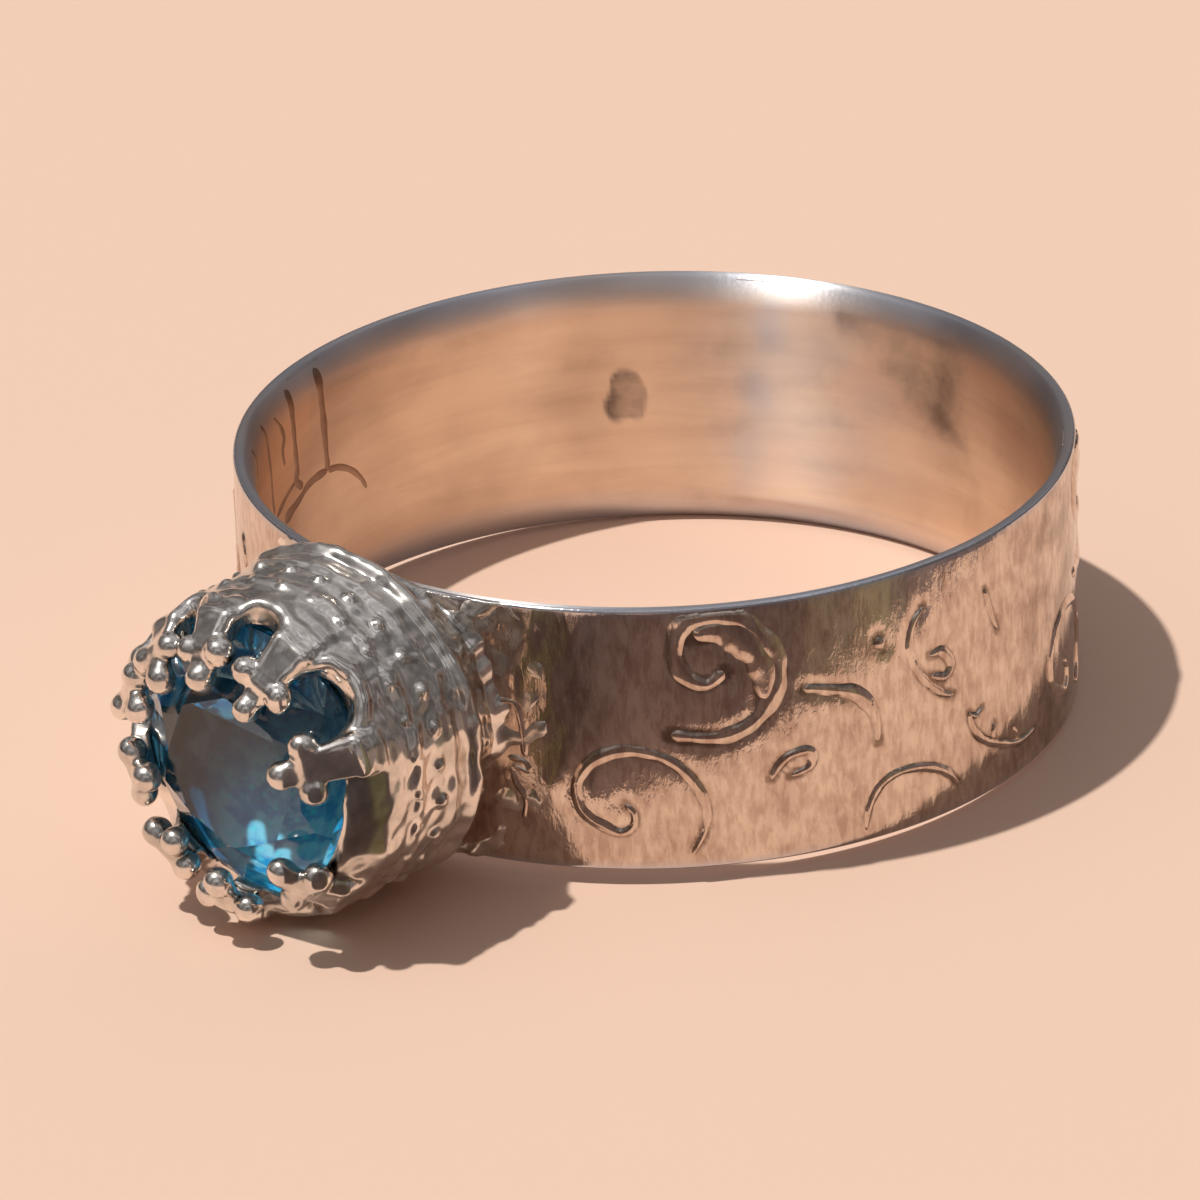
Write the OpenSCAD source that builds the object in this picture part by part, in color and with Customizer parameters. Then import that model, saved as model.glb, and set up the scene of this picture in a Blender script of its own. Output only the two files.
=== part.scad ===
// Ring with a round blue topaz in a claw-topped gallery cup, lying on its side.
// The finger hole's centre is the origin, the stone faces -Y and up is +Z.

/* [Band] */
// Inside diameter of the finger hole
finger_d = 18.8; // [15:0.1:22]
// Width of the band along the finger
band_w = 6.5; // [5:0.1:7]
// Wall thickness of the band
band_t = 0.5; // [0.5:0.05:1.2]
// Rounding of the band's outer edges
edge_round = 0.08; // [0.05:0.01:0.15]
// Rounding of the band's inner edges, where the finger slides in
comfort_round = 0.35; // [0.1:0.05:0.4]

/* [Curls on the band] */
// How far the curls stand up from the band
curl_rise = 0.1; // [0.05:0.01:0.2]
// Width of a curl's stroke
curl_w = 0.22; // [0.15:0.01:0.35]
// Number of times the group of curls is repeated round the band
curl_groups = 4; // [1:1:4]

/* [Cup] */
// How far the cup sits off the middle of the band's width
head_up = 0.35; // [0:0.05:0.6]
// Diameter of the cup's foot at the band
foot_d = 5.7; // [5.2:0.1:5.7]
// Height of the ridge above the band
ridge_rise = 1.25; // [1:0.05:1.5]
// Diameter over the ridge
ridge_d = 8.1; // [8:0.1:8.6]
// Thickness of the ridge wire
ridge_wire = 0.36; // [0.25:0.01:0.5]
// Outside diameter of the gallery wall
wall_d = 7.7; // [7.6:0.1:8]
// Height of the bead row above the band
bead_row_rise = 2.35; // [2.2:0.05:2.6]
// Diameter of the beads in the row
row_bead_d = 0.34; // [0.25:0.01:0.45]
// Number of beads in the row
row_beads = 30; // [12:1:36]
// Height of the thin ridge above the band
trim_rise = 3.05; // [2.9:0.05:3.2]
// Thickness of the thin ridge
trim_wire = 0.24; // [0.15:0.01:0.35]

/* [Stone] */
// Diameter of the stone
stone_d = 6.5; // [6.3:0.05:6.55]
// Height of the stone's girdle above the band
girdle_rise = 4.2; // [4.1:0.05:4.6]
// Thickness of the girdle
girdle_t = 0.12; // [0.08:0.01:0.2]
// Width of the table as a share of the stone's diameter
table_share = 0.57; // [0.5:0.01:0.65]
// Slope of the crown's main facets
crown_angle = 34.5; // [30:0.5:36]
// Slope of the pavilion's main facets
pavilion_angle = 41; // [38:0.5:43]
// Number of main facets round the stone
mains = 8; // [8:1:12]
// Gap between the stone and the silver
stone_gap = 0.05; // [0.03:0.01:0.1]

/* [Claws] */
// Width of a claw's stem
stem_w = 1.05; // [0.8:0.05:1.2]
// How far the arches reach down past the girdle's middle
arch_drop = 0.08; // [0:0.01:0.2]
// Thickness of the raised cord round an arch
arch_wire = 0.44; // [0.3:0.02:0.5]
// Height of the lip that is rolled over the stone, over the top of the girdle
lip_rise = 0.58; // [0.5:0.02:0.7]
// Inside diameter of the lip
lip_d = 6; // [5.9:0.05:6.2]
// Thickness of a claw
claw_t = 0.42; // [0.3:0.02:0.46]
// Diameter of the beads at a claw's tip
tip_bead_d = 0.68; // [0.5:0.02:0.7]
// Distance from the side beads to the end bead
end_reach = 0.64; // [0.6:0.02:0.8]

/* [Hidden] */
$fn = 96;
band_ri = finger_d / 2;
band_ro = band_ri + band_t;
foot_r = foot_d / 2;
ridge_h = band_ro + ridge_rise;
ridge_r = ridge_d / 2;
wall_r = wall_d / 2;
stone_r = stone_d / 2;
seat_r = stone_r + stone_gap;
ledge_r = stone_r - 0.3;
girdle_h = band_ro + girdle_rise;
girdle_bottom = girdle_h - girdle_t / 2;
girdle_top = girdle_h + girdle_t / 2;
culet_h = girdle_bottom - stone_r * tan(pavilion_angle);
table_r = stone_r * table_share;
table_h = girdle_top + (stone_r - table_r) * tan(crown_angle);
// The crown's facets between the mains meet the stars here
star_r = table_r + (stone_r - table_r) * 0.54;
star_h = girdle_top + (stone_r - star_r * cos(180 / mains)) * tan(crown_angle);
// The ledge stops just under the pavilion
ledge_h = culet_h + ledge_r * tan(pavilion_angle) - stone_gap;
// Inside radius of the hollow foot, and of the hollow under the ledge
foot_bore_r = foot_r - 0.5;
well_r = ledge_r;
// The claws turn in at this height, on this radius
bend_h = girdle_top + 0.38;
bend_r = (seat_r + wall_r) / 2;
tip_bead_r = tip_bead_d / 2;
// The wall's top is rolled over the crown's edge, clear of its steepest facets
lip_r = lip_d / 2;
lip_h = girdle_top + lip_rise;
lip_under_h = girdle_top + stone_gap + (seat_r - lip_r) * (star_h - girdle_top) / (stone_r - star_r);
shoulder_h = girdle_h - 0.1;
arch_h = girdle_h - arch_drop;
// The cords of the arches end below this height, where the wall turns in
cord_top_h = shoulder_h + 0.3;
// The head's lowest side and the far edge of the band touch the surface
rest_tilt = atan((ridge_r - head_up - band_w / 2) / (band_ro + ridge_h));

// Columns of the claw table
ANGLE = 0;
ARM = 1;
LEAN = 2;
TIP_LEAN = 3;
SPREAD = 4;
// One row a claw: place round the cup, arm to the side beads, lean of the arm from upright, lean of the
// tip, and half the distance between the side beads
claws = [
    [19, 1.15, 57, 58, 0.5],
    [65, 1, 56, 60, 0.52],
    [101, 0.85, 50, 60, 0.46],
    [128, 0.75, 36, 60, 0.46],
    [156, 0.75, 36, 62, 0.46],
    [196, 0.75, 50, 62, 0.48],
    [232, 0.72, 40, 64, 0.52],
    [268, 0.8, 32, 60, 0.6],
    [315, 0.78, 38, 60, 0.5]
];
// The strip that the cup is bent from meets itself in the widest gap, which has no arch
widest_arch = 55;

// Columns of the curl table
AROUND = 0;
ALONG = 1;
RADIUS = 2;
START = 3;
SWEEP = 4;
// One row a curl: degrees round the band from the head, height on the band, radius, where the stroke
// starts and how far it turns
curls = [
    [36.5, -1.7, 1.42, -40, 225],
    [32.5, -1.72, 0.6, 170, 235],
    [46.9, 1.5, 1.47, -127, 246],
    [45.4, 2, 0.62, 120, 200],
    [61.3, -0.6, 1.43, -8, 114],
    [56.9, -1.05, 0.42, 0, 200],
    [70.3, 1.62, 0.13, 0, 360],
    [75.5, -3.15, 1.43, 5, 170],
    [83.3, 1.15, 1.43, 137, 125],
    [79.6, 0.6, 0.37, -135, 260],
    [83.3, 1.1, 1.42, -15, 50],
    [95, -0.9, 1.45, 180, 115]
];
// Angle between one group of curls and the next
group_step = 78;

// A tube's outline with rounded edges, turned about the finger's axis
module band_profile() {
    half = band_w / 2;
    e = edge_round;
    c = comfort_round;
    translate([band_ri, -half + c]) square([band_t, band_w - 2 * c]);
    translate([band_ri + c, -half]) square([band_t - c - e, band_w]);
    translate([band_ro - e - 0.05, -half + e]) square([e + 0.05, band_w - 2 * e]);
    for (side = [-1, 1]) {
        intersection() {
            translate([band_ri + c, side * (half - c)]) circle(r = c);
            translate([band_ri, -half]) square([c, band_w]);
        }
        translate([band_ro - e, side * (half - e)]) circle(r = e);
    }
}

module band() {
    rotate_extrude() band_profile();
}

// One stroke of a curl, a flat ring segment that stands on the band
module curl(row) {
    rotate([0, 0, row[AROUND]])
        translate([0, 0, row[ALONG]])
            rotate([90, 0, 0])
                translate([0, 0, band_ro - 0.5])
                    rotate([0, 0, row[START]])
                        rotate_extrude(angle = row[SWEEP])
                            translate([row[RADIUS] - curl_w / 2, 0])
                                square([curl_w, 1]);
}

module curl_shell() {
    difference() {
        cylinder(r = band_ro + curl_rise, h = band_w - 2 * edge_round, center = true);
        cylinder(r = band_ro - 0.3, h = band_w + 2, center = true);
    }
}

module band_curls() {
    intersection() {
        curl_shell();
        union() {
            for (group = [0 : curl_groups - 1]) {
                rotate([0, 0, group * group_step])
                    for (row = curls) curl(row);
            }
        }
    }
}

// Moves a shape made round +Z onto the cup's own axis
module on_head() {
    translate([0, 0, head_up])
        rotate([90, 0, 0])
            children();
}

// Half section of the cup: flared foot, ridge, straight wall, rolled lip, ledge and open well
module cup_profile() {
    polygon([
        [foot_bore_r, band_ri - 0.6],
        [foot_r, band_ri - 0.6],
        [foot_r, band_ro - 0.5],
        [foot_r + 0.25, band_ro + 0.35],
        [ridge_r - ridge_wire / 2, ridge_h - 0.1],
        [ridge_r - ridge_wire / 2, ridge_h + 0.1],
        [wall_r, ridge_h + 0.3],
        [wall_r, shoulder_h],
        [lip_r + 0.25, lip_h],
        [lip_r, lip_h],
        [lip_r, lip_under_h],
        [seat_r, girdle_top + stone_gap],
        [seat_r, ledge_h],
        [ledge_r, ledge_h],
        [well_r, band_ro + 2.4],
        [foot_bore_r, band_ro + 1.2]
    ]);
    translate([ridge_r - ridge_wire / 2, ridge_h]) circle(d = ridge_wire);
    translate([wall_r, band_ro + trim_rise]) circle(d = trim_wire);
}

// Keeps the foot out of the finger hole
module finger_room() {
    rotate([90, 0, 0]) cylinder(r = band_ri + 0.15, h = 2 * band_w, center = true);
}

function next_angle(i) = i + 1 < len(claws) ? claws[i + 1][ANGLE] : claws[0][ANGLE] + 360;
function gap_angle(i) = next_angle(i) - claws[i][ANGLE];
function arch_r(i) = bend_r * sin(gap_angle(i) / 2) - stem_w / 2;

// Moves a flat shape on to the wall between two claws, round the centre of their arch
module on_arch(i) {
    rotate([0, 0, claws[i][ANGLE] + gap_angle(i) / 2])
        translate([0, 0, arch_h + arch_r(i)])
            rotate([90, 0, 90])
                children();
}

// The opening of an arch. Its round part reaches a hair past its straight sides, so that they cross.
module arch_opening(i) {
    hair = 0.01;
    on_arch(i) translate([0, 0, lip_r - 0.2]) {
        cylinder(r = arch_r(i), h = 2);
        translate([hair - arch_r(i), 0, 0]) cube([2 * (arch_r(i) - hair), 2, 2]);
    }
}

// The raised cord under an arch
module arch_cord(i) {
    cord_r = arch_r(i) + arch_wire / 2 - 0.02;
    short = asin((arch_h + arch_r(i) - cord_top_h) / cord_r);
    on_arch(i)
        translate([0, 0, wall_r - 0.12])
            rotate([0, 0, 180 + short])
                rotate_extrude(angle = 180 - 2 * short)
                    translate([cord_r, 0])
                        circle(d = arch_wire);
}

// A claw's arm, made in a frame whose +X runs along the arm and +Z is its outer face
module claw_arm(length, root_w, end_w) {
    translate([0, 0, -claw_t / 2])
        linear_extrude(height = claw_t)
            polygon([[0, -root_w / 2], [length, -end_w / 2], [length, end_w / 2], [0, root_w / 2]]);
    rotate([90, 0, 0]) cylinder(d = claw_t, h = root_w, center = true);
}

// A claw's turned-in top: arm, two side beads and the end bead
module claw_top(row) {
    rotate([0, 0, row[ANGLE]])
        translate([bend_r, 0, bend_h])
            rotate([0, -90 - row[LEAN], 0])
                mirror([0, 0, 1]) {
                    claw_arm(row[ARM], stem_w, 0.62);
                    translate([row[ARM], 0, 0]) {
                        rotate([90, 0, 0]) cylinder(d = claw_t, h = 2 * row[SPREAD], center = true);
                        for (side = [-1, 1])
                            translate([0, side * row[SPREAD], 0]) sphere(r = tip_bead_r);
                        rotate([0, row[TIP_LEAN] - row[LEAN], 0]) {
                            claw_arm(end_reach, 0.5, 0.46);
                            translate([end_reach, 0, 0]) sphere(r = tip_bead_r);
                        }
                    }
                }
}

module bead_row() {
    for (i = [0 : row_beads - 1])
        rotate([0, 0, i * 360 / row_beads])
            translate([wall_r - 0.05, 0, band_ro + bead_row_rise])
                sphere(d = row_bead_d);
}

module cup() {
    difference() {
        union() {
            rotate_extrude() cup_profile();
            bead_row();
            for (i = [0 : len(claws) - 1])
                if (gap_angle(i) < widest_arch) arch_cord(i);
        }
        finger_room();
        for (i = [0 : len(claws) - 1])
            if (gap_angle(i) < widest_arch) arch_opening(i);
    }
}

module band_and_setting() {
    color("silver")
        rotate([-rest_tilt, 0, 0])
            union() {
                band();
                band_curls();
                on_head() cup();
                on_head() for (row = claws) claw_top(row);
            }
}

// Corners of one ring of the stone, all at the same height
function ring_points(r, h, count, turn) =
    [for (i = [0 : count - 1]) [r * cos(turn + i * 360 / count), r * sin(turn + i * 360 / count), h]];

// Round brilliant: table, stars, kites, halves, girdle, lower halves and pavilion mains
module topaz_cut() {
    rim = 2 * mains;
    half_step = 180 / mains;
    lower_r = stone_r * 0.24;
    lower_h = culet_h + lower_r * cos(half_step) * tan(pavilion_angle);
    points = concat(
        ring_points(table_r, table_h, mains, 0),
        ring_points(star_r, star_h, mains, half_step),
        ring_points(stone_r, girdle_top, rim, 0),
        ring_points(stone_r, girdle_bottom, rim, 0),
        ring_points(lower_r, lower_h, mains, half_step),
        [[0, 0, culet_h]]
    );
    star = mains;
    upper = 2 * mains;
    under = upper + rim;
    lower = under + rim;
    culet = lower + mains;
    table_face = [[for (i = [mains - 1 : -1 : 0]) i]];
    main_faces = [for (i = [0 : mains - 1])
        let (next = (i + 1) % mains, last = (i + mains - 1) % mains, near = 2 * i)
        let (side = near + 1, far = (near + 2) % rim)
        each [
            [i, next, star + i],
            [i, star + i, upper + near, star + last],
            [star + i, upper + side, upper + near],
            [star + i, upper + far, upper + side],
            [lower + i, under + near, under + side],
            [lower + i, under + side, under + far],
            [culet, lower + last, under + near, lower + i]
        ]];
    girdle_faces = [for (j = [0 : rim - 1])
        [upper + j, upper + (j + 1) % rim, under + (j + 1) % rim, under + j]];
    polyhedron(points, concat(table_face, main_faces, girdle_faces));
}

module topaz() {
    color("steelblue")
        rotate([-rest_tilt, 0, 0])
            on_head()
                topaz_cut();
}

band_and_setting();
topaz();
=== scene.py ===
import math

import bmesh
import bpy
import numpy as np
from mathutils import Matrix, Vector


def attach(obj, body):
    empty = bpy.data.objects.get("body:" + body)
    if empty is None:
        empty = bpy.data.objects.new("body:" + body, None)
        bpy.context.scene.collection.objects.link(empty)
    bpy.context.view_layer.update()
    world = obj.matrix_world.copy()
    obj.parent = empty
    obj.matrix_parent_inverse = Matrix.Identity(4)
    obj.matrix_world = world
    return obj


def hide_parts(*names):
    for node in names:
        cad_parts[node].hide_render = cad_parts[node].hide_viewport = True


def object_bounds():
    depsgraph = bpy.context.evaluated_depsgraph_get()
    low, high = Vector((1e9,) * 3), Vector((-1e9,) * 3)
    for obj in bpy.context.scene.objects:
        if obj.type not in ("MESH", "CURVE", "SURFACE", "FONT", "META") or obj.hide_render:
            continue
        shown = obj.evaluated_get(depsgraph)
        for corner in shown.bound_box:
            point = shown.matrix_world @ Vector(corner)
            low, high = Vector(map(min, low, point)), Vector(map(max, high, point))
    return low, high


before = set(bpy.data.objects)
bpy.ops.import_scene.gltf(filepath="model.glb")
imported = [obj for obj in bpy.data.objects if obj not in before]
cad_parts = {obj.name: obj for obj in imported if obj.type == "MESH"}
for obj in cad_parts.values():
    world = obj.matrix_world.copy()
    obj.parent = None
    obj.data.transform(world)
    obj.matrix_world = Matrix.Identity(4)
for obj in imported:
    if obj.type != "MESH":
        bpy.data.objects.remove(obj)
CAD_BOX = [list(map(float, c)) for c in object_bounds()]

MM = 0.001

# Sizes in millimetres, the same as the solids'
BAND_RI = 9.4
BAND_RO = 9.9
BAND_W = 6.5
EDGE_ROUND = 0.08
HEAD_UP = 0.35
RIDGE_H = 11.15
RIDGE_R = 4.05
WALL_R = 3.85
SEAT_R = 3.3
LEDGE_R = 2.95
STONE_R = 3.25
GIRDLE_H = 14.1
GIRDLE_T = 0.12
CROWN = math.radians(34.5)
PAVILION = math.radians(41.0)
TABLE_R = STONE_R * 0.57
BEND_H = GIRDLE_H + GIRDLE_T / 2 + 0.38
BEND_R = (SEAT_R + WALL_R) / 2
ARCH_H = GIRDLE_H - 0.08
WIDEST_ARCH = 55
LIP_H = GIRDLE_H + GIRDLE_T / 2 + 0.58
STEM_W = 1.05
CLAW_T = 0.42
TIP_BEAD_R = 0.34
END_REACH = 0.64
CULET_H = GIRDLE_H - GIRDLE_T / 2 - STONE_R * math.tan(PAVILION)
LEDGE_H = CULET_H + LEDGE_R * math.tan(PAVILION) - 0.05
REST_TILT = math.atan((RIDGE_R - HEAD_UP - BAND_W / 2) / (BAND_RO + RIDGE_H))

# Sizes that only the scene has: the inner rims' lean and how far down it starts, how high curls and the
# painted dark reflections inside the band stand and how deep they start
COMFORT_IN = 0.27
COMFORT_DOWN = 0.75
CURL_RISE, CURL_SINK = 0.05, 0.03
REFLECTION_RISE, REFLECTION_SINK = 0.012, 0.008
REFLECTION_WIDEN = 1.45

# Corners of the band's outline along its inner wall, each leaning rim and its outer wall, the number of
# outlines round the band, and the step in mm along the lines of curls and seams
INNER_STEPS, LEAN_STEPS, OUTER_STEPS = 37, 9, 57
BAND_TURNS = 640
LINE_STEP = 0.05

# A claw: place round the cup, arm length, lean of the arm, lean of the tip, half the distance between its
# side beads
CLAWS = (
    (19, 1.15, 57, 58, 0.5),
    (65, 1, 56, 60, 0.52),
    (101, 0.85, 50, 60, 0.46),
    (128, 0.75, 36, 60, 0.46),
    (156, 0.75, 36, 62, 0.46),
    (196, 0.75, 50, 62, 0.48),
    (232, 0.72, 40, 64, 0.52),
    (268, 0.8, 32, 60, 0.6),
    (315, 0.78, 38, 60, 0.5),
)

# Raised strokes on the band: half width, then degrees round the band from the head and height on the band
STROKES = (
    (0.34, ((44.3, 2.6), (47, 2.68), (50, 2.5), (52.6, 2), (53.9, 1.35), (53.8, 0.8))),
    (0.22, (
        (48.2, 1.62), (45.8, 1.35), (43, 1.61), (41.8, 2.14), (42.6, 2.8), (45.5, 3), (49, 2.98),
        (51.9, 2.7), (54.2, 2.2), (55.4, 1.62), (54.9, 0.97), (52.1, 0.32), (47.4, 0.01), (41, 0.14),
    )),
    (0.13, (
        (34.7, -1.59), (35.8, -1.81), (35.7, -2.13), (34.1, -2.31), (31.8, -2.14), (29.9, -1.93),
        (28.6, -1.6), (28.5, -1.05), (30.7, -0.5), (34.4, -0.24), (38.1, -0.31), (41.4, -0.58), (44, -1.1),
        (45.4, -1.72), (45.2, -2.28), (43.4, -2.92),
    )),
    (0.15, ((58.9, 0.96), (61.3, 0.85), (65.8, 0.6), (68.4, 0.15), (69.5, -0.35), (69.6, -0.8))),
    (0.16, ((69.9, 1.82), (70.2, 1.62), (70.6, 1.48))),
    (0.12, ((77.1, 2.22), (75.2, 1.82), (74.9, 1.17), (76.9, 0.45), (79.9, -0.09), (82.3, -0.31))),
    (0.13, ((78.1, 0.94), (80.4, 0.9), (82, 0.5), (80.8, 0.25), (78.4, 0.4))),
    (0.08, ((88.7, 1.98), (89.8, 1.41), (91.3, 0.77))),
    (0.1, ((85.3, -0.94), (85.8, -1.25), (87, -1.61), (89.8, -1.99), (95.5, -2.39), (100.6, -2.41))),
    (0.07, ((85.2, -0.95), (86.6, -1.1), (88, -0.95))),
    (0.07, ((90.6, -1.55), (90.4, -1.8), (90.8, -2.05))),
    (0.07, ((95, -1.95), (95.6, -2.15), (96.4, -2.4))),
    (0.11, (
        (67.5, -2.97), (68.1, -2.41), (69.9, -1.93), (73, -1.73), (77.4, -1.85), (81.3, -2.24),
        (84.4, -2.97),
    )),
    (0.13, ((54.2, -1.18), (55.3, -0.87), (57.1, -0.65), (59.6, -0.64), (59.7, -1.01), (57, -1.18))),
)
STROKE_GROUPS = 4
GROUP_STEP = 78

# Ragged edges where solder ran out on the band beside the head
SPLASHES = (
    (0.13, (
        (14.7, -0.79), (15.6, -0.23), (17.4, 0.62), (19.2, 0.83), (20.6, 0.7), (21.3, 0.1), (21.5, -0.53),
    )),
    (0.1, (
        (19.1, -0.58), (21.3, -0.64), (22, -0.89), (19.8, -0.83), (20.2, -1.23), (21.4, -1.6), (21, -2.15),
    )),
)

# Dark lines inside the band, painted reflections laid on low raised strips, each as half width at its start
# and end and its points
DARK_REFLECTIONS = (
    (0.14, 0.11, ((278.6, 3.05), (278.4, 2.47), (278, 1.65), (277.7, 0.89), (277.5, 0.3))),
    (0.09, 0.07, ((277.5, 0.3), (274.6, 0.19), (271.8, -0.06), (269.7, -0.4), (268.5, -0.74))),
    (0.1, 0.14, ((277.5, 0.3), (281, 0.31), (283.7, 0.24), (286.1, 0.08), (291.5, -0.11))),
    (0.13, 0.11, (
        (287.2, 3.05), (287.1, 2.68), (286.8, 2.13), (286.5, 1.48), (286.3, 0.89), (286.6, 0.6),
        (284.6, 0.32),
    )),
    (0.08, 0.08, ((287, 0.62), (291.1, 0.44), (294.9, 0.24))),
    (0.06, 0.1, ((293.5, 2.75), (291.2, 2.33), (290.2, 2), (291, 1.69), (290.4, 1.28))),
    (0.1, 0.07, ((299.2, 2.95), (297.9, 2.5), (296.6, 1.62), (296.4, 0.82), (295.7, 0.4))),
    (0.09, 0.05, ((307.8, 2.95), (306.4, 2.59), (306.4, 2.08))),
)


# Frames: in the ring's the finger's axis is upright, in the head's the third number runs along the cup's axis
def ring_to_part(p):
    c, s = math.cos(REST_TILT), math.sin(REST_TILT)
    p = np.asarray(p, float)
    return np.stack([p[:, 0], p[:, 1] * c + p[:, 2] * s, -p[:, 1] * s + p[:, 2] * c], 1) * MM


def head_to_ring(p):
    p = np.asarray(p, float)
    return np.stack([p[:, 0], -p[:, 2], p[:, 1] + HEAD_UP], 1)


def unit(x):
    """The value, held between 0 and 1."""
    return np.clip(x, 0, 1)


def make_mesh(name, points, faces, materials, face_material=None, smooth=True):
    mesh = bpy.data.meshes.new(name)
    mesh.from_pydata([tuple(v) for v in points], [], [tuple(f) for f in faces])
    for m in materials:
        mesh.materials.append(m)
    if face_material is not None:
        mesh.polygons.foreach_set("material_index", np.asarray(face_material, np.int32))
    mesh.polygons.foreach_set("use_smooth", [smooth] * len(mesh.polygons))
    mesh.validate()
    mesh.update()
    obj = bpy.data.objects.new(name, mesh)
    bpy.context.scene.collection.objects.link(obj)
    return obj


def point_values(obj, name, values):
    layer = obj.data.attributes.new(name, "FLOAT", "POINT")
    layer.data.foreach_set("value", np.asarray(values, np.float32))


# Band: a tube turned about the finger's axis, its outside softly uneven from hand polishing
def band_outline():
    half, e = BAND_W / 2, EDGE_ROUND
    straight = half - COMFORT_DOWN
    inner = [(BAND_RI, z) for z in np.linspace(-straight, straight, INNER_STEPS)]
    lean = np.linspace(0.1, 0.96, LEAN_STEPS)
    top = [(BAND_RI + COMFORT_IN * t**2, half - COMFORT_DOWN * (1 - t)) for t in lean]
    top += [(BAND_RI + COMFORT_IN + 0.02, half)]
    edge = np.radians([0, 18, 36, 54, 72])
    top += [(BAND_RO - e + e * math.sin(a), half - e + e * math.cos(a)) for a in edge]
    outer = [(BAND_RO, z) for z in np.linspace(half - e, -(half - e), OUTER_STEPS)]
    low = [(r, -z) for r, z in reversed(top)]
    return np.array(inner + top + outer + low), len(inner), len(top), len(outer)


def waves(angle, z, seed, amount, round_waves, along_waves, count):
    """Soft random unevenness on the band, from waves round it and along its width."""
    rng = np.random.default_rng(seed)
    total = np.zeros(np.broadcast(angle, z).shape)
    for _ in range(count):
        n = rng.integers(*round_waves)
        m = rng.uniform(*along_waves)
        p, q = rng.uniform(0, 2 * math.pi, 2)
        total = total + np.sin(n * angle + p + 0.6 * np.sin(m * z * 0.7 + q)) * np.cos(m * z + q)
    return total * amount / math.sqrt(count)


def inner_wall(angle, z):
    """Radius of the band's inside: slightly uneven, and leaning back towards both rims."""
    near = unit((np.abs(z) - BAND_W / 2 + COMFORT_DOWN) / COMFORT_DOWN)
    return BAND_RI + COMFORT_IN * near**2 + waves(angle, z, 11, 0.01, (4, 18), (0.1, 0.5), 8) * (1 - near)


def spline(points, radius):
    """A smooth line through points given as degrees and height, in mm along the wall, evenly spaced."""
    p = np.array(points, float) * (math.radians(1) * radius, 1)
    p = np.vstack([2 * p[0] - p[1], p, 2 * p[-1] - p[-2]])
    t = np.linspace(0, 1, 12, endpoint=False)[:, None]
    out = []
    for a, b, c, d in zip(p[:-3], p[1:-2], p[2:-1], p[3:]):
        square, cube = 2 * a - 5 * b + 4 * c - d, 3 * b - a - 3 * c + d
        out.append(0.5 * (2 * b + (c - a) * t + square * t**2 + cube * t**3))
    out = np.vstack(out + [p[-2][None]])
    run = np.r_[0, np.cumsum(np.hypot(*np.diff(out, axis=0).T))]
    s = np.linspace(0, run[-1], max(7, int(run[-1] / LINE_STEP)))
    return np.stack([np.interp(s, run, out[:, k]) for k in (0, 1)], 1)


def band_strokes():
    """Each stroke's line and its half width along the line."""
    for group in range(STROKE_GROUPS):
        for half, points in STROKES:
            path = spline(points, BAND_RO)
            swell = np.sin(np.linspace(0.12, 0.94, len(path)) * math.pi) ** 1.3
            yield path + (math.radians(group * GROUP_STEP) * BAND_RO, 0), half * (0.6 + 0.9 * swell)
    for half, points in SPLASHES:
        path = spline(points, BAND_RO)
        yield path, np.full(len(path), half)


def band_moat(angle, z):
    """A shallow hollow, rubbed down by wear, on both sides of each stroke."""
    low = np.zeros(np.broadcast(angle, z).shape)
    x = np.broadcast_to(angle * BAND_RO, low.shape)
    zz = np.broadcast_to(z, low.shape)
    for path, half in band_strokes():
        (x0, z0), (x1, z1) = path.min(0) - 0.7, path.max(0) + 0.7
        edge = 0.7 * half.mean()
        near = (x > x0) & (x < x1) & (zz > z0) & (zz < z1)
        dx = x[near][:, None] - path[None, :, 0]
        dz = zz[near][:, None] - path[None, :, 1]
        d = np.sqrt((dx * dx + dz * dz).min(1))
        low[near] = np.maximum(low[near], np.exp(-((np.maximum(d - edge, 0) / 0.11) ** 2)))
    return low


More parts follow.
